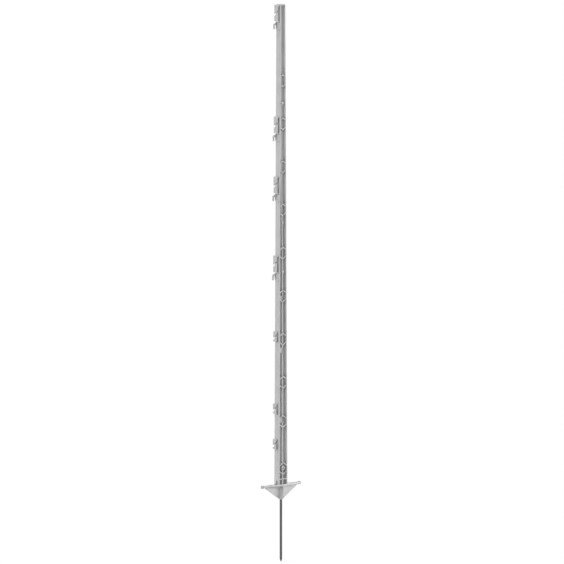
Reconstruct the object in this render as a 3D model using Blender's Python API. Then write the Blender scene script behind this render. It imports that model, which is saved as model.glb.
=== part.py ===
# A step-in post for an electric fence, moulded in white plastic, with a steel ground spike.
# Metres, +Z up. Z is 0 at the underside of the step, which stops on the ground. The post's axis is X = Y = 0.
# The front, with the clips and hooks, faces -Y. The two channels of the I section face +X and -X.

import math

import bmesh
import bpy

# Post
POST_HEIGHT = 1.349
TOP_WIDTH = 0.0157
TOP_DEPTH = 0.0211
FOOT_WIDTH = 0.0188
FOOT_DEPTH = 0.0338
FLANGE_EDGE = 0.0026
FLANGE_ROOT = 0.0031
WEB_THICKNESS = 0.0024
EDGE_RADIUS = 0.0007
ROOT_RADIUS = 0.0014
END_THICKNESS = 0.0030

# Ribs and bosses in the channels
RIB_THICKNESS = 0.0022
RIB_SLOPE = math.radians(31.0)
RIB_SETBACK = 0.0003
RIB_PAIRS = 10
LOWEST_PAIR = 0.0672
TOP_PAIR_DROP = 0.1964
SECOND_PAIR_LIFT = 0.011
PAIR_SPREAD = 0.0353
CROSS_RIB_HEIGHT = 0.020
CENTRE_RIB_THICKNESS = 0.0025
CENTRE_RIB_REACH = 0.0065
CENTRE_RIB_FULL = 0.62
CENTRE_RIB_END = 0.94
RIB_GAP = 0.014
RIB_GAP_HEIGHTS = (0.186, 0.380, 0.525)
BOSS_DIAMETER = 0.0070
BOSS_SETBACK = 0.0008
BOSS_HEIGHTS = (0.6006, 0.7378, 1.0727)
RING_HEIGHT = 0.0504
RING_DIAMETER = 0.0116
RING_BORE = 0.0056
RING_BORE_DEPTH = 0.0045

# Tape clips: heights are of their top edges
CLIP_CORNER = 0.0012
SLIT_SLOPE = math.radians(35.0)
SLIT_HEIGHT = 0.0032
FUNNEL_WIDTH = 0.0058
ROOT_SINK = 0.0012
LARGE_CLIP_HEIGHTS = (0.6464, 0.8676, 1.0359)
LARGE_CLIP = {"height": 0.0485, "outer_height": 0.0460, "width": 0.0130, "stand_off": 0.0050, "wall": 0.0030,
              "bridge": 0.0045, "slot": 0.0412, "lip": 0.0255, "mouth": 0.0055}
SMALL_CLIP_HEIGHTS = (0.1329, 0.2320, 0.4336)
SMALL_CLIP = {"height": 0.0305, "outer_height": 0.0272, "width": 0.0126, "stand_off": 0.0045, "wall": 0.0023,
              "bridge": 0.0040, "slot": 0.0238, "lip": 0.0170, "mouth": 0.0055}

# Rope hook and its pad, below each large clip
HOOK_DROP = 0.0495
HOOK_WIDTH = 0.0042
HOOK_REACH = 0.0125
HOOK_ARM = 0.0036
HOOK_ARM_FALL = 0.0042
HOOK_BAR = 0.0026
HOOK_LENGTH = 0.0195
HOOK_CORNER = 0.0022
PAD_DROP = 0.0510
PAD_HEIGHT = 0.0210
PAD_RISE = 0.0022
PAD_SETBACK = 0.0004
PAD_RIM = 0.0020
PAD_POCKET = 0.0018
PAD_SLOPE = 0.0022

# Step
STEP_REACH = 0.0722
STEP_THICKNESS = 0.0058
STEP_WIDTH = 0.0240
STEP_TIP_WIDTH = 0.0068
STEP_EDGE = 0.0008
BEAD_DIAMETER = 0.0100
BEAD_WIDTH = 0.0050
GUSSET_THICKNESS = 0.0030
GUSSET_REACH = 0.0086
GUSSET_RISE = 0.0130

# Fins below the step
FIN_THICKNESS = 0.0038
LONG_FIN_REACH = 0.0640
CROSS_FIN_REACH = 0.0115
CROSS_FIN_STRAIGHT = 0.0283
FIN_DEPTH = 0.0370
SOCKET_WALL = 0.0013
CORE_TAPER = 0.0006
CORE_OVERHANG = 0.0005

# Ground spike
SPIKE_DIAMETER = 0.0072
SPIKE_LENGTH = 0.1738
SPIKE_SEAT = 0.040
SPIKE_POINT = 0.0075
SPIKE_TIP_DIAMETER = 0.0016
SPIKE_CHAMFER = 0.0005
SEAT_CLEARANCE = 0.0003

ROUND_SIDES = 24
BOSS_SIDES = 16
CUT_MARGIN = 0.004


def clear_scene():
    for old in list(bpy.data.objects):
        bpy.data.objects.remove(old, do_unlink=True)


def plain_material(name, colour, roughness, metallic):
    material = bpy.data.materials.new(name)
    material.use_nodes = True
    shader = material.node_tree.nodes["Principled BSDF"]
    shader.inputs["Base Color"].default_value = (*colour, 1.0)
    shader.inputs["Roughness"].default_value = roughness
    shader.inputs["Metallic"].default_value = metallic
    return material


def half_width(z):
    """Half of the section's width at height z. It tapers evenly from the foot to the top."""
    return (FOOT_WIDTH + (TOP_WIDTH - FOOT_WIDTH) * z / POST_HEIGHT) / 2


def half_depth(z):
    return (FOOT_DEPTH + (TOP_DEPTH - FOOT_DEPTH) * z / POST_HEIGHT) / 2


def arc(centre, radius, start, end, steps):
    """Points on an arc, its angles in degrees."""
    angles = [math.radians(start + (end - start) * i / steps) for i in range(steps + 1)]
    return [(centre[0] + radius * math.cos(a), centre[1] + radius * math.sin(a)) for a in angles]


def closed_object(name, build):
    """An object whose mesh `build` fills, with every face turned outward."""
    work = bmesh.new()
    build(work)
    bmesh.ops.recalc_face_normals(work, faces=work.faces)
    mesh = bpy.data.meshes.new(name)
    work.to_mesh(mesh)
    work.free()
    result = bpy.data.objects.new(name, mesh)
    bpy.context.scene.collection.objects.link(result)
    return result


def lofted(name, rings):
    """A closed solid through rings of equally many points, with a flat face at each end."""
    def build(work):
        loops = [[work.verts.new(point) for point in ring] for ring in rings]
        for lower, upper in zip(loops, loops[1:]):
            for i in range(len(lower)):
                j = (i + 1) % len(lower)
                work.faces.new((lower[i], lower[j], upper[j], upper[i]))
        work.faces.new(loops[0])
        work.faces.new(loops[-1])
    return closed_object(name, build)


def prism(name, axis, outline, start, end):
    """An outline extruded along X, Y or Z. Its points hold the two other coordinates, in XYZ order."""
    def placed(along):
        return [point[:axis] + (along,) + point[axis:] for point in outline]
    return lofted(name, [placed(start), placed(end)])


def box(name, low, high):
    outline = [(low[0], low[1]), (high[0], low[1]), (high[0], high[1]), (low[0], high[1])]
    return prism(name, 2, outline, low[2], high[2])


def turned(name, axis, centre, profile, sides):
    """A solid turned round an axis through `centre`, from (radius, place along the axis) pairs."""
    rings = []
    for radius, along in profile:
        circle = arc(centre, radius, 0.0, 360.0 * (sides - 1) / sides, sides - 1)
        rings.append([point[:axis] + (along,) + point[axis:] for point in circle])
    return lofted(name, rings)


def apply_boolean(body, others, operation):
    """Joins the other solids to the body, or cuts them from it, and removes them."""
    group = bpy.data.collections.new(operation)
    bpy.context.scene.collection.children.link(group)
    for other in others:
        bpy.context.scene.collection.objects.unlink(other)
        group.objects.link(other)
    modifier = body.modifiers.new(operation, "BOOLEAN")
    modifier.operation = operation
    modifier.operand_type = "COLLECTION"
    modifier.collection = group
    modifier.solver = "EXACT"
    bpy.context.view_layer.update()
    depsgraph = bpy.context.evaluated_depsgraph_get()
    mesh = bpy.data.meshes.new_from_object(body.evaluated_get(depsgraph))
    body.modifiers.remove(modifier)
    body.data = mesh
    for other in others:
        bpy.data.objects.remove(other, do_unlink=True)
    bpy.data.collections.remove(group)
    return body


def bevel_edges(body, width, wanted):
    """Chamfers the edges whose two end points `wanted` accepts."""
    work = bmesh.new()
    work.from_mesh(body.data)
    edges = [edge for edge in work.edges if wanted(edge.verts[0].co, edge.verts[1].co)]
    bmesh.ops.bevel(work, geom=edges, offset=width, segments=1, affect="EDGES", clamp_overlap=True)
    work.to_mesh(body.data)
    work.free()
    return body


def copy_at(pattern, name, place):
    result = bpy.data.objects.new(name, pattern.data.copy())
    result.location = place
    bpy.context.scene.collection.objects.link(result)
    return result


def section_ring(z):
    """The I section at height z: one quarter with its rounded edge and root fillet, mirrored three times."""
    a = half_width(z)
    b = half_depth(z)
    web = WEB_THICKNESS / 2
    edge = arc((a - EDGE_RADIUS, EDGE_RADIUS - b), EDGE_RADIUS, -90.0, 0.0, 3)
    inner = [(a, FLANGE_EDGE - EDGE_RADIUS / 2 - b), (a - EDGE_RADIUS / 2, FLANGE_EDGE - b)]
    root = arc((web + ROOT_RADIUS, FLANGE_ROOT + ROOT_RADIUS - b), ROOT_RADIUS, -90.0, -180.0, 3)
    quarter = edge + inner + root
    right = quarter + [(x, -y) for x, y in reversed(quarter)]
    left = [(-x, -y) for x, y in right]
    return [(x, y, z) for x, y in right + left]


def rail():
    return lofted("post", [section_ring(STEP_THICKNESS / 2), section_ring(POST_HEIGHT - END_THICKNESS / 2)])


def end_plate():
    """The flat plate that closes the top of the section, with the same rounded corners."""
    x = half_width(POST_HEIGHT) - RIB_SETBACK
    y = half_depth(POST_HEIGHT) - RIB_SETBACK
    outline = []
    for turn, (right, back) in enumerate(((1, 1), (-1, 1), (-1, -1), (1, -1))):
        centre = (right * (x - EDGE_RADIUS), back * (y - EDGE_RADIUS))
        outline += arc(centre, EDGE_RADIUS, 90.0 * turn, 90.0 * turn + 90.0, 2)
    return prism("end_plate", 2, outline, POST_HEIGHT - END_THICKNESS, POST_HEIGHT)


def cross_rib():
    """The level rib across both channels just above the step."""
    x = half_width(CROSS_RIB_HEIGHT) - RIB_SETBACK
    y = half_depth(CROSS_RIB_HEIGHT) - FLANGE_EDGE / 2
    low = CROSS_RIB_HEIGHT - RIB_THICKNESS / 2
    return box("cross_rib", (-x, -y, low), (x, y, low + RIB_THICKNESS))


def chevron(name, apex, turn):
    """Two rib legs that meet at `apex`. They fall to the flanges if turn is -1 and rise to them if it is 1."""
    x = half_width(apex) - RIB_SETBACK
    y = half_depth(apex) - FLANGE_EDGE / 2
    side = apex + turn * y * math.tan(RIB_SLOPE)
    t = turn * RIB_THICKNESS / math.cos(RIB_SLOPE)
    outline = [(-y, side), (0.0, apex), (y, side), (y, side + t), (0.0, apex + t), (-y, side + t)]
    return prism(name, 0, outline, -x, x)


def rib_pair_apexes():
    """The lower and the upper apex of each pair of chevrons, evenly spaced up to below the top clip."""
    pitch = (POST_HEIGHT - TOP_PAIR_DROP - LOWEST_PAIR) / (RIB_PAIRS - 1)
    for i in range(RIB_PAIRS):
        upper = LOWEST_PAIR + pitch * i + (SECOND_PAIR_LIFT if i == 1 else 0.0)
        yield upper - PAIR_SPREAD, upper


def centre_rib():
    """The rib along the middle of both channels. It grows out of the web and stops at three short gaps."""
    web = WEB_THICKNESS / 4
    half = [(CENTRE_RIB_REACH, STEP_THICKNESS / 2), (CENTRE_RIB_REACH, CENTRE_RIB_FULL), (web, CENTRE_RIB_END)]
    outline = half + [(-x, z) for x, z in reversed(half)]
    rib = prism("centre_rib", 1, outline, -CENTRE_RIB_THICKNESS / 2, CENTRE_RIB_THICKNESS / 2)
    reach = CENTRE_RIB_REACH + CUT_MARGIN
    gaps = []
    for z in RIB_GAP_HEIGHTS:
        low = (-reach, -CENTRE_RIB_THICKNESS, z - RIB_GAP / 2)
        high = (reach, CENTRE_RIB_THICKNESS, z + RIB_GAP / 2)
        gaps.append(box("rib_gap", low, high))
    return apply_boolean(rib, gaps, "DIFFERENCE")


def bosses():
    found = []
    for z in BOSS_HEIGHTS:
        x = half_width(z) - BOSS_SETBACK
        radius = BOSS_DIAMETER / 2
        found.append(turned("boss", 0, (0.0, z), [(radius, -x), (radius, x)], BOSS_SIDES))
    return found


def ring_boss():
    """The larger boss near the foot, with a blind hole from each side."""
    x = half_width(RING_HEIGHT) - BOSS_SETBACK
    radius = RING_DIAMETER / 2
    ring = turned("ring_boss", 0, (0.0, RING_HEIGHT), [(radius, -x), (radius, x)], BOSS_SIDES)
    bore = RING_BORE / 2
    deep = x - RING_BORE_DEPTH
    right = turned("bore", 0, (0.0, RING_HEIGHT), [(bore, deep), (bore, x + CUT_MARGIN)], BOSS_SIDES)
    left = turned("bore", 0, (0.0, RING_HEIGHT), [(bore, -x - CUT_MARGIN), (bore, -deep)], BOSS_SIDES)
    return ring, [right, left]


def slit_outline(size):
    """The slanted cut through a clip's front wall, in X and Z, with a round bite below it at its open side.

    X is 0 at the clip's outer side and Z is 0 at its top. The bite's lower edge is a quadratic curve.
    """
    rise = math.tan(SLIT_SLOPE)
    lip = size["lip"]

    def upper(x):
        return -lip + rise * x

    def lower(x):
        return upper(x) - SLIT_HEIGHT

    far = size["width"] + CUT_MARGIN
    start = (FUNNEL_WIDTH, lower(FUNNEL_WIDTH))
    end = (0.0, -lip - size["mouth"])
    bend = (FUNNEL_WIDTH, end[1])
    funnel = []
    for step in range(5):
        t = step / 4
        parts = zip(start, bend, end)
        funnel.append(tuple((1 - t) ** 2 * p + 2 * t * (1 - t) * q + t * t * r for p, q, r in parts))
    outer = (-CUT_MARGIN, end[1])
    return [(-CUT_MARGIN, upper(-CUT_MARGIN)), (far, upper(far)), (far, lower(far))] + funnel + [outer]


def clip_pattern(name, size):
    """A tape clip: a wall that stands off the front flange on two bridges, cut by a slanted slit.

    X is 0 at the flange's -X edge, Y is 0 on its front face and Z is 0 at the clip's top.
    """
    back = -size["stand_off"]
    front = back - size["wall"]
    width = size["width"]
    top_corner = arc((front + CLIP_CORNER, -CLIP_CORNER), CLIP_CORNER, 90.0, 180.0, 2)
    foot = -size["height"]
    foot_corner = arc((front + CLIP_CORNER, foot + CLIP_CORNER), CLIP_CORNER, 180.0, 270.0, 2)
    outline = [(ROOT_SINK, 0.0)] + top_corner + foot_corner + [(ROOT_SINK, foot)]
    clip = prism(name, 0, outline, 0.0, width)
    low = (-CUT_MARGIN, back, -size["bridge"] - size["slot"])
    high = (width + CUT_MARGIN, CUT_MARGIN, -size["bridge"])
    slot = box("slot", low, high)
    slit = prism("slit", 1, slit_outline(size), front - CUT_MARGIN, back + CUT_MARGIN / 4)
    outer = -size["outer_height"]
    slope = (foot - outer) / width
    under = [(-CUT_MARGIN, outer - slope * CUT_MARGIN), (width, foot), (width, foot - CUT_MARGIN)]
    under.append((-CUT_MARGIN, foot - CUT_MARGIN))
    wedge = prism("under", 1, under, front - CUT_MARGIN, CUT_MARGIN)
    return apply_boolean(clip, [slot, slit, wedge], "DIFFERENCE")


def hook_pattern():
    """A rope hook: an arm that falls outward and a bar that hangs from it. Z is 0 at the clip's top."""
    top = -HOOK_DROP
    out = -HOOK_REACH
    inside = out + HOOK_BAR
    corner = top - HOOK_ARM_FALL
    foot = top - HOOK_LENGTH
    crown = arc((out + HOOK_CORNER, corner - HOOK_CORNER), HOOK_CORNER, 90.0, 180.0, 3)
    end = arc((out + HOOK_BAR / 2, foot + HOOK_BAR / 2), HOOK_BAR / 2, 180.0, 360.0, 4)
    under = corner - HOOK_ARM
    outline = [(ROOT_SINK, top)] + crown + end
    outline += [(inside, under - HOOK_BAR / 2), (inside + HOOK_BAR / 2, under), (ROOT_SINK, top - HOOK_ARM)]
    return prism("hook", 0, outline, 0.0, HOOK_WIDTH)


def pad(clip_top):
    """The raised pad behind a hook, with a round lower end and a pocket whose sides slope in from its rim."""
    top = clip_top - PAD_DROP
    foot = top - PAD_HEIGHT
    x = half_width(top) - PAD_SETBACK
    face = -half_depth((top + foot) / 2)

    def shape(inset, upper):
        radius = x - inset
        centre = foot + x
        curve = arc((0.0, centre), radius, 180.0, 360.0, 8)
        return [(radius, upper), (-radius, upper)] + curve

    def ring(inset, y):
        return [(px, y, pz) for px, pz in shape(inset, top + CUT_MARGIN)]

    front = face - PAD_RISE
    body = prism("pad", 1, shape(0.0, top), front, face + ROOT_SINK)
    floor = ring(PAD_RIM + PAD_SLOPE, front + PAD_POCKET)
    pocket = lofted("pocket", [ring(PAD_RIM, front - CUT_MARGIN), ring(PAD_RIM, front), floor])
    return apply_boolean(body, [pocket], "DIFFERENCE")


def placed_fittings():
    """All clips, hooks and pads, each at its own height on the front flange."""
    large = clip_pattern("large_clip", LARGE_CLIP)
    small = clip_pattern("small_clip", SMALL_CLIP)
    hook = hook_pattern()
    found = []
    for top in LARGE_CLIP_HEIGHTS + (POST_HEIGHT - RIB_SETBACK,):
        middle = top - LARGE_CLIP["height"] / 2
        place = (RIB_SETBACK - half_width(middle), -half_depth(middle), top)
        found.append(copy_at(large, "large_clip", place))
        low = top - HOOK_DROP
        place = (RIB_SETBACK - half_width(low), -half_depth(low), top)
        found.append(copy_at(hook, "hook", place))
        found.append(pad(top))
    for top in SMALL_CLIP_HEIGHTS:
        middle = top - SMALL_CLIP["height"] / 2
        place = (RIB_SETBACK - half_width(middle), -half_depth(middle), top)
        found.append(copy_at(small, "small_clip", place))
    for pattern in (large, small, hook):
        bpy.data.objects.remove(pattern, do_unlink=True)
    return found


def step():
    """The double step: a plate that narrows to both ends, a bead across each end and a gusset on each side."""
    x = STEP_WIDTH / 2
    tip = STEP_TIP_WIDTH / 2
    reach = STEP_REACH
    outline = [(x, 0.0), (tip, reach), (-tip, reach), (-x, 0.0), (-tip, -reach), (tip, -reach)]
    plate = prism("step", 2, outline, 0.0, STEP_THICKNESS)

    def lies_flat(first, second):
        return abs(first.z - second.z) < STEP_EDGE and abs(first.x + second.x) > STEP_TIP_WIDTH

    found = [bevel_edges(plate, STEP_EDGE, lies_flat)]
    foot = half_depth(STEP_THICKNESS)
    for side in (-1, 1):
        radius = BEAD_DIAMETER / 2
        centre = (side * reach, STEP_THICKNESS / 2)
        profile = [(radius, -BEAD_WIDTH / 2), (radius, BEAD_WIDTH / 2)]
        found.append(turned("bead", 0, centre, profile, BOSS_SIDES))
        outer = side * (foot + GUSSET_REACH)
        inner = side * (foot - FLANGE_EDGE / 2)
        low = STEP_THICKNESS / 2
        high = STEP_THICKNESS + GUSSET_RISE
        outline = [(inner, low), (outer, low), (outer, STEP_THICKNESS), (side * foot, high), (inner, high)]
        found.append(prism("gusset", 0, outline, -GUSSET_THICKNESS / 2, GUSSET_THICKNESS / 2))
    return found


def core_radius():
    return SPIKE_DIAMETER / 2 + SEAT_CLEARANCE + SOCKET_WALL


def fins():
    """The two crossed fins below the step and the round core that holds the spike."""
    up = STEP_THICKNESS / 2
    t = FIN_THICKNESS / 2
    foot = core_radius() - CORE_OVERHANG
    long = [(-LONG_FIN_REACH, up), (LONG_FIN_REACH, up), (LONG_FIN_REACH, 0.0), (foot, -FIN_DEPTH)]
    long += [(-foot, -FIN_DEPTH), (-LONG_FIN_REACH, 0.0)]
    reach = CROSS_FIN_REACH
    low = CORE_OVERHANG - FIN_DEPTH
    cross = [(-reach, up), (reach, up), (reach, -CROSS_FIN_STRAIGHT), (foot, low), (-foot, low)]
    cross.append((-reach, -CROSS_FIN_STRAIGHT))
    radius = core_radius()
    core = [(radius, -FIN_DEPTH - CORE_OVERHANG), (radius + CORE_TAPER, up)]
    return [prism("long_fin", 0, long, -t, t), prism("cross_fin", 1, cross, -t, t),
            turned("core", 2, (0.0, 0.0), core, ROUND_SIDES)]


def spike_top():
    return SPIKE_SEAT - FIN_DEPTH - CORE_OVERHANG


def socket():
    radius = SPIKE_DIAMETER / 2 + SEAT_CLEARANCE
    profile = [(radius, -FIN_DEPTH - CUT_MARGIN), (radius, spike_top() + SEAT_CLEARANCE)]
    return turned("socket", 2, (0.0, 0.0), profile, ROUND_SIDES)


def make_post(material):
    post = rail()
    pieces = [end_plate(), cross_rib()]
    for lower, upper in rib_pair_apexes():
        pieces.append(chevron("lower_chevron", lower, 1))
        pieces.append(chevron("upper_chevron", upper, -1))
    ring, bores = ring_boss()
    pieces += [centre_rib(), ring] + bosses()
    pieces += placed_fittings() + step() + fins()
    apply_boolean(post, pieces, "UNION")
    apply_boolean(post, bores + [socket()], "DIFFERENCE")
    post.data.materials.clear()
    post.data.materials.append(material)
    return post


def make_spike(material):
    radius = SPIKE_DIAMETER / 2
    top = spike_top()
    tip = -FIN_DEPTH - CORE_OVERHANG - SPIKE_LENGTH
    profile = [(SPIKE_TIP_DIAMETER / 2, tip), (radius, tip + SPIKE_POINT), (radius, top - SPIKE_CHAMFER),
               (radius - SPIKE_CHAMFER, top)]
    spike = turned("ground_spike", 2, (0.0, 0.0), profile, ROUND_SIDES)
    spike.data.materials.append(material)
    return spike


def finish(body):
    body.data.shade_smooth()
    body.data.set_sharp_from_angle(angle=math.radians(30.0))


def main():
    clear_scene()
    plastic = plain_material("white_plastic", (0.80, 0.80, 0.79), 0.36, 0.0)
    steel = plain_material("dull_steel", (0.16, 0.16, 0.165), 0.42, 0.85)
    finish(make_post(plastic))
    finish(make_spike(steel))


main()
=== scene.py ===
import math

import bpy
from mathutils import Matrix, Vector


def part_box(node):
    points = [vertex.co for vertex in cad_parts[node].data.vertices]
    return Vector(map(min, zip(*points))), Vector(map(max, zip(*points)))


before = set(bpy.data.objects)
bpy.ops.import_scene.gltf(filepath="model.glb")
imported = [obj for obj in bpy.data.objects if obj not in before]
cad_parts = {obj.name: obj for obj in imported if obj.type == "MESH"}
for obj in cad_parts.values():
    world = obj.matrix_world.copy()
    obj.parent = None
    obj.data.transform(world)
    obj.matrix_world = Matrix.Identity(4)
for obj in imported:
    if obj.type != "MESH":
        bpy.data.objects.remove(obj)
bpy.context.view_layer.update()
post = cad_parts["post"]
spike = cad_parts["ground_spike"]
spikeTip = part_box("ground_spike")[0].z
print("frame loaded:", ", ".join(sorted(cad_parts)))

cameraView = {
    "azimuth": 45.0,        # degrees from the front towards the right-hand channel
    "elevation": 7.5,       # degrees above the horizon
    "frameHeight": 1.5657,  # metres of the object that the square frame takes in
    "aimRight": 0.0030,     # how far the frame's middle lies to the right of the post's axis
    "aimHeight": 0.5709,    # and above the ground
    "distance": 6.0,
    "near": 0.1,
    "far": 100.0,
}


# Direction from the object: azimuth 0 is the front, -Y, and 90 is +X.
def turned(azimuth, elevation):
    a, e = math.radians(azimuth), math.radians(elevation)
    return Vector((math.sin(a) * math.cos(e), -math.cos(a) * math.cos(e), math.sin(e)))


# The photo shows next to no perspective, so the lens is a parallel one.
def makeCamera(view):
    back = turned(view["azimuth"], view["elevation"])
    right = turned(view["azimuth"] + 90.0, 0.0)
    lens = bpy.data.cameras.new("studioCamera")
    lens.type = "ORTHO"
    lens.ortho_scale = view["frameHeight"]
    lens.clip_start, lens.clip_end = view["near"], view["far"]
    camera = bpy.data.objects.new("studioCamera", lens)
    target = right * view["aimRight"] + Vector((0.0, 0.0, view["aimHeight"]))
    camera.location = target + back * view["distance"]
    camera.rotation_euler = back.to_track_quat("Z", "Y").to_euler()
    bpy.context.scene.collection.objects.link(camera)
    bpy.context.scene.camera = camera


makeCamera(cameraView)
bpy.context.scene.view_settings.view_transform = "Standard"
print("camera placed")


# A node with its properties set, and its inputs linked or given by name or number.
def node(tree, kind, links=(), **values):
    made = tree.nodes.new(kind)
    for key, value in values.items():
        setattr(made, key, value)
    for key, value in links:
        if isinstance(value, bpy.types.NodeSocket):
            tree.links.new(value, made.inputs[key])
        else:
            made.inputs[key].default_value = value
    return made


def maths(tree, operation, *values):
    return node(tree, "ShaderNodeMath", list(enumerate(values)), operation=operation).outputs[0]


# Runs a value from one range to another, held at both ends.
def ranged(tree, value, low, high, toLow=0.0, toHigh=1.0):
    links = [("Value", value), ("From Min", low), ("From Max", high), ("To Min", toLow), ("To Max", toHigh)]
    return node(tree, "ShaderNodeMapRange", links).outputs["Result"]


studio = {
    "aroundLevel": 0.18,       # what the room sends from every side
    "seenLevel": 1.0,          # how bright the room looks where it is looked at
    "roomColour": (1.0, 1.0, 1.0, 1.0),
    "floorColour": (0.50, 0.50, 0.50, 1.0),
    "floorHalf": 40.0,
    "floorGap": 0.0002,        # between the tip of the spike and the floor
    "floorLift": 0.706,        # brings the lit floor up to the white of the room, where it is looked at
}

# Soft sun lamps that stand for large panels: azimuth, elevation and spread in degrees, and power.
# The key and side panels are behind to the right, and the left one lights the channel that the photo hides.
panels = {
    "keyPanel": {"azimuth": 155.0, "elevation": 10.0, "spread": 30.0, "power": 2.20},
    "sidePanel": {"azimuth": 120.0, "elevation": 10.0, "spread": 30.0, "power": 0.50},
    "frontPanel": {"azimuth": 6.0, "elevation": 15.0, "spread": 30.0, "power": 1.00},
    "topPanel": {"azimuth": 0.0, "elevation": 75.0, "spread": 30.0, "power": 0.50},
    "leftPanel": {"azimuth": 270.0, "elevation": 12.0, "spread": 40.0, "power": 0.80},
}


# 1 for rays from the camera and for what is mirrored or seen through glass, otherwise 0.
def seenOnly(tree):
    path = node(tree, "ShaderNodeLightPath").outputs
    seen = maths(tree, "MAXIMUM", path["Is Camera Ray"], path["Is Glossy Ray"])
    return maths(tree, "MAXIMUM", seen, path["Is Transmission Ray"])


# The room's own level for the light it gives, and the seen one where it is looked at.
def makeRoom(settings):
    world = bpy.data.worlds.new("paleRoom")
    world.use_nodes = True
    tree = world.node_tree
    background = tree.nodes["Background"]
    background.inputs["Color"].default_value = settings["roomColour"]
    level = ranged(tree, seenOnly(tree), 0.0, 1.0, settings["aroundLevel"], settings["seenLevel"])
    tree.links.new(level, background.inputs["Strength"])
    bpy.context.scene.world = world


def makePanel(name, settings):
    lamp = bpy.data.lights.new(name, "SUN")
    lamp.energy = settings["power"]
    lamp.angle = math.radians(settings["spread"])
    panel = bpy.data.objects.new(name, lamp)
    towards = turned(settings["azimuth"], settings["elevation"])
    panel.rotation_euler = towards.to_track_quat("Z", "Y").to_euler()
    bpy.context.scene.collection.objects.link(panel)


def makeFloor(settings, height):
    half = settings["floorHalf"]
    mesh = bpy.data.meshes.new("floor")
    corners = [(-half, -half, height), (half, -half, height), (half, half, height), (-half, half, height)]
    mesh.from_pydata(corners, [], [(0, 1, 2, 3)])
    floor = bpy.data.objects.new("floor", mesh)
    bpy.context.scene.collection.objects.link(floor)
    material = bpy.data.materials.new("paleFloor")
    material.use_nodes = True
    tree = material.node_tree
    tree.nodes.clear()
    matt = node(tree, "ShaderNodeBsdfDiffuse", [("Color", settings["floorColour"])])
    level = maths(tree, "MULTIPLY", seenOnly(tree), settings["floorLift"])
    lift = node(tree, "ShaderNodeEmission", [("Strength", level)])
    both = node(tree, "ShaderNodeAddShader", [(0, matt.outputs[0]), (1, lift.outputs[0])])
    node(tree, "ShaderNodeOutputMaterial", [("Surface", both.outputs[0])])
    mesh.materials.append(material)


makeRoom(studio)
for panelName, panelSettings in panels.items():
    makePanel(panelName, panelSettings)
makeFloor(studio, spikeTip - studio["floorGap"])
print("room, light panels and floor made")


# A shader node group with named inputs and outputs. Each material gives all of the inputs their values.
def newGroup(name, ins, outs):
    kinds = {"number": "NodeSocketFloat", "vector": "NodeSocketVector"}
    group = bpy.data.node_groups.new(name, "ShaderNodeTree")
    for label, kind in ins:
        group.interface.new_socket(label, in_out="INPUT", socket_type=kinds[kind])
    for label, kind in outs:
        group.interface.new_socket(label, in_out="OUTPUT", socket_type=kinds[kind])
    given = group.nodes.new("NodeGroupInput").outputs
    out = group.nodes.new("NodeGroupOutput").inputs
    return group, given, out


def vectorMaths(tree, operation, first, second):
    return node(tree, "ShaderNodeVectorMath", [(0, first), (1, second)], operation=operation)


def noise(tree, vector, scale, detail, roughness):
    links = [("Vector", vector), ("Scale", scale), ("Detail", detail), ("Roughness", roughness)]
    return node(tree, "ShaderNodeTexNoise", links).outputs["Fac"]


# Noise run from one level to another, which breaks up a mask.
def breakup(tree, given, shape, toLow=0.0):
    scale = given["Breakup Scale"]
    spots = noise(tree, given["Vector"], scale, shape["breakDetail"], shape["breakRoughness"])
    return ranged(tree, spots, shape["breakLow"], shape["breakHigh"], toLow)


def bumped(tree, height, depth, normal):
    links = [("Height", height), ("Distance", depth), ("Normal", normal)]
    return node(tree, "ShaderNodeBump", links).outputs["Normal"]


def placedGroup(tree, group, links):
    return node(tree, "ShaderNodeGroup", links, node_tree=group)


mixSockets = {"factor": 0, "first": 6, "second": 7, "result": 2}    # of a Mix node that mixes colours


# Colour mix, from the first to the second, each a socket or a plain colour.
def mixed(tree, factor, first, second):
    first, second = [(*c, 1.0) if isinstance(c, tuple) else c for c in (first, second)]
    links = [(mixSockets["factor"], factor), (mixSockets["first"], first), (mixSockets["second"], second)]
    return node(tree, "ShaderNodeMix", links, data_type="RGBA").outputs[mixSockets["result"]]


grainShape = {
    "grainDetail": 3.0,
    "grainRoughness": 0.6,
    "cloudDetail": 4.0,
    "cloudRoughness": 0.55,
    "cloudShare": 0.8,      # of the clouds in the height
}


# Two sizes of noise, the grain of the tool's face and soft clouds in the finish, and their sum as a height.
def makeFineGrain(shape):
    ins = [("Vector", "vector"), ("Grain Scale", "number"), ("Cloud Scale", "number")]
    outs = [("Height", "number"), ("Grain", "number"), ("Clouds", "number")]
    group, given, out = newGroup("fineGrain", ins, outs)
    place = given["Vector"]
    grain = noise(group, place, given["Grain Scale"], shape["grainDetail"], shape["grainRoughness"])
    clouds = noise(group, place, given["Cloud Scale"], shape["cloudDetail"], shape["cloudRoughness"])
    height = maths(group, "MULTIPLY_ADD", clouds, shape["cloudShare"], grain)
    for label, value in (("Height", height), ("Grain", grain), ("Clouds", clouds)):
        group.links.new(value, out[label])
    return group


wearShape = {
    "samples": 6,
    "turnStart": 0.01,      # 1 minus the dot product at which wear starts, and is full
    "turnFull": 0.16,
    "breakDetail": 3.0,
    "breakRoughness": 0.5,
    "breakLow": 0.35,
    "breakHigh": 0.65,
}


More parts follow.
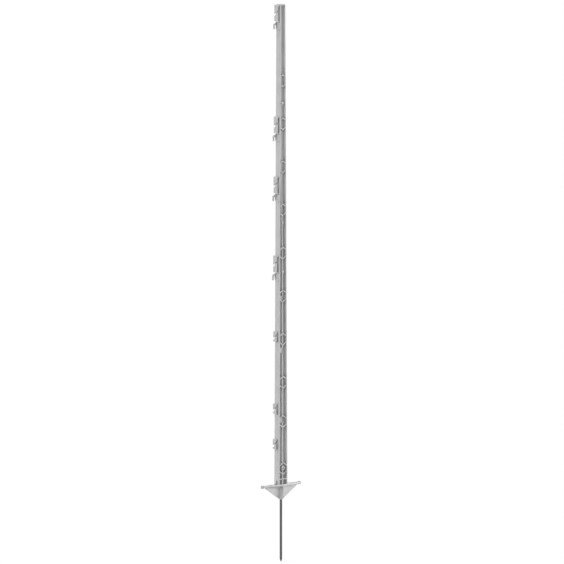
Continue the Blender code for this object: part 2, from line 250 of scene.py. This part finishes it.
# Where a rounded corner would turn: 1 minus the dot product of the true and the rounded normal, times noise.
def makeEdgeWear(shape):
    ins = [("Vector", "vector"), ("Radius", "number"), ("Breakup Scale", "number")]
    group, given, out = newGroup("edgeWear", ins, [("Mask", "number"), ("Normal", "vector")])
    bevel = node(group, "ShaderNodeBevel", [("Radius", given["Radius"])], samples=shape["samples"])
    rounded = bevel.outputs["Normal"]
    flat = node(group, "ShaderNodeNewGeometry").outputs["Normal"]
    along = vectorMaths(group, "DOT_PRODUCT", rounded, flat).outputs["Value"]
    turn = ranged(group, maths(group, "SUBTRACT", 1.0, along), shape["turnStart"], shape["turnFull"])
    group.links.new(maths(group, "MULTIPLY", turn, breakup(group, given, shape)), out["Mask"])
    group.links.new(rounded, out["Normal"])
    return group


recessShape = {
    "samples": 12,
    "breakDetail": 3.0,
    "breakRoughness": 0.5,
    "breakLow": 0.3,
    "breakHigh": 0.7,
    "leastLeft": 0.85,      # of the mask, where the noise is lowest
}


# Deep corners: 1 minus how open the surface is within the reach, run from 0 at Start to 1 at Full, and
# multiplied by noise that leaves most of it.
# The white plastic uses this mask to paint shade into its colour, and to make these corners rougher.
def makeRecess(shape):
    ins = [("Vector", "vector"), ("Reach", "number"), ("Start", "number"), ("Full", "number"),
           ("Breakup Scale", "number")]
    group, given, out = newGroup("recess", ins, [("Mask", "number")])
    reach = [("Distance", given["Reach"])]
    around = node(group, "ShaderNodeAmbientOcclusion", reach, samples=shape["samples"], only_local=True)
    shut = maths(group, "SUBTRACT", 1.0, around.outputs["AO"])
    closed = ranged(group, shut, given["Start"], given["Full"])
    uneven = breakup(group, given, shape, shape["leastLeft"])
    group.links.new(maths(group, "MULTIPLY", closed, uneven), out["Mask"])
    return group


streakShape = {
    "detail": 4.0,
    "roughness": 0.6,
    "low": 0.35,
    "high": 0.68,
}


# Long faint streaks along Z: noise on a vector that is squeezed along Z, held between two levels.
def makeStreaks(shape):
    ins = [("Vector", "vector"), ("Scale", "number"), ("Squeeze", "vector")]
    group, given, out = newGroup("longStreaks", ins, [("Mask", "number")])
    squeezed = vectorMaths(group, "MULTIPLY", given["Vector"], given["Squeeze"]).outputs["Vector"]
    streaks = noise(group, squeezed, given["Scale"], shape["detail"], shape["roughness"])
    group.links.new(ranged(group, streaks, shape["low"], shape["high"]), out["Mask"])
    return group


fineGrain = makeFineGrain(grainShape)
edgeWear = makeEdgeWear(wearShape)
recess = makeRecess(recessShape)
longStreaks = makeStreaks(streakShape)
print("shared finishes made")

plasticLook = {
    "colour": (0.80, 0.80, 0.805),
    "cloudColour": (0.735, 0.737, 0.744),
    "cloudRange": (0.4, 0.7),               # the noise at which the clouds start, and are full
    "streakColour": (0.87, 0.87, 0.875),    # where the plastic flowed along the post
    "streakShare": 0.40,
    "streakDepth": 0.00003,
    "streakScale": 400.0,
    "streakSqueeze": (1.0, 1.0, 0.02),
    "edgeColour": (0.88, 0.88, 0.885),      # the plastic is a shade whiter where corners are rubbed
    "paintedRecessShade": (0.36, 0.364, 0.372),   # painted shade: darker in the depth of the channels and behind the clips
    "recessReach": 0.012,
    "recessStart": 0.10,
    "recessFull": 1.00,
    "recessBreakup": 120.0,
    "roughness": (0.34, 0.46),
    "roughRange": (0.3, 0.7),               # the noise between which the roughness runs
    "dullRoughness": 0.55,                  # in the recesses
    "grainScale": 2400.0,
    "cloudScale": 45.0,
    "grainDepth": 0.00002,
    "edgeRadius": 0.0007,
    "edgeBreakup": 300.0,
    "ior": 1.5,
    "seamHalf": 0.0009,                     # half the width of the parting line in the middle of both faces
    "seamDepth": 0.00012,
    "seamFacing": 0.9,                      # only faces that look this squarely to the front or back have it
}


# The parting line: 1 at X = 0, falling evenly to 0 at its half width, on faces that look along Y.
def makeSeam(tree, place, look):
    x = node(tree, "ShaderNodeSeparateXYZ", [("Vector", place)]).outputs["X"]
    near = ranged(tree, maths(tree, "ABSOLUTE", x), 0.0, look["seamHalf"], 1.0, 0.0)
    facing = node(tree, "ShaderNodeTexCoord").outputs["Normal"]
    y = node(tree, "ShaderNodeSeparateXYZ", [("Vector", facing)]).outputs["Y"]
    square = maths(tree, "GREATER_THAN", maths(tree, "ABSOLUTE", y), look["seamFacing"])
    return maths(tree, "MULTIPLY", near, square)


def newMaterial(name):
    material = bpy.data.materials.new(name)
    material.use_nodes = True
    tree = material.node_tree
    return material, tree, tree.nodes["Principled BSDF"]


# Grain and edge wear are in both materials, each with its own values.
def addGrainAndWear(tree, place, look):
    scales = [("Vector", place), ("Grain Scale", look["grainScale"]), ("Cloud Scale", look["cloudScale"])]
    corners = [("Vector", place), ("Radius", look["edgeRadius"]), ("Breakup Scale", look["edgeBreakup"])]
    return placedGroup(tree, fineGrain, scales).outputs, placedGroup(tree, edgeWear, corners).outputs


def addStreaks(tree, place, scale, squeeze):
    links = [("Vector", place), ("Scale", scale), ("Squeeze", squeeze)]
    return placedGroup(tree, longStreaks, links).outputs["Mask"]


def makeWhitePlastic(look):
    material, tree, shader = newMaterial("whitePlastic")
    place = node(tree, "ShaderNodeTexCoord").outputs["Object"]
    grain, wear = addGrainAndWear(tree, place, look)
    depth = [("Vector", place), ("Reach", look["recessReach"]), ("Start", look["recessStart"]),
             ("Full", look["recessFull"]), ("Breakup Scale", look["recessBreakup"])]
    deep = placedGroup(tree, recess, depth).outputs["Mask"]
    streaks = addStreaks(tree, place, look["streakScale"], look["streakSqueeze"])
    seam = makeSeam(tree, place, look)
    clouds = ranged(tree, grain["Clouds"], *look["cloudRange"])
    body = mixed(tree, clouds, look["colour"], look["cloudColour"])
    body = mixed(tree, maths(tree, "MULTIPLY", streaks, look["streakShare"]), body, look["streakColour"])
    # Painted shade: the colour goes darker in deep corners, channels and behind the clips.
    body = mixed(tree, deep, body, look["paintedRecessShade"])
    body = mixed(tree, maths(tree, "MAXIMUM", wear["Mask"], seam), body, look["edgeColour"])
    tree.links.new(body, shader.inputs["Base Color"])
    clean = ranged(tree, grain["Clouds"], *look["roughRange"], *look["roughness"])
    tree.links.new(ranged(tree, deep, 0.0, 1.0, clean, look["dullRoughness"]), shader.inputs["Roughness"])
    seamed = bumped(tree, seam, look["seamDepth"], wear["Normal"])
    flowed = bumped(tree, streaks, look["streakDepth"], seamed)
    grained = bumped(tree, grain["Height"], look["grainDepth"], flowed)
    tree.links.new(grained, shader.inputs["Normal"])
    shader.inputs["IOR"].default_value = look["ior"]
    return material


steelLook = {
    "colour": (0.09, 0.09, 0.094),
    "brightColour": (0.19, 0.19, 0.195),    # along the drawn lines and on rubbed corners
    "lineShare": 0.6,
    "roughness": (0.30, 0.44),
    "lineScale": 900.0,
    "lineSqueeze": (1.0, 1.0, 0.01),
    "grainScale": 2600.0,
    "cloudScale": 160.0,
    "grainDepth": 0.00001,
    "edgeRadius": 0.0006,
    "edgeBreakup": 300.0,
    "metallic": 1.0,
}


def makeDrawnSteel(look):
    material, tree, shader = newMaterial("drawnSteel")
    place = node(tree, "ShaderNodeTexCoord").outputs["Object"]
    grain, wear = addGrainAndWear(tree, place, look)
    lines = addStreaks(tree, place, look["lineScale"], look["lineSqueeze"])
    clouded = maths(tree, "MULTIPLY", lines, grain["Clouds"])
    bright = maths(tree, "MULTIPLY", clouded, look["lineShare"])
    worn = maths(tree, "MAXIMUM", bright, wear["Mask"])
    tree.links.new(mixed(tree, worn, look["colour"], look["brightColour"]), shader.inputs["Base Color"])
    tree.links.new(ranged(tree, lines, 0.0, 1.0, *look["roughness"]), shader.inputs["Roughness"])
    shader.inputs["Metallic"].default_value = look["metallic"]
    height = maths(tree, "ADD", lines, grain["Grain"])
    tree.links.new(bumped(tree, height, look["grainDepth"], wear["Normal"]), shader.inputs["Normal"])
    return material


def dress(piece, material):
    piece.data.materials.clear()
    piece.data.materials.append(material)


dress(post, makeWhitePlastic(plasticLook))
dress(spike, makeDrawnSteel(steelLook))
print("materials made")
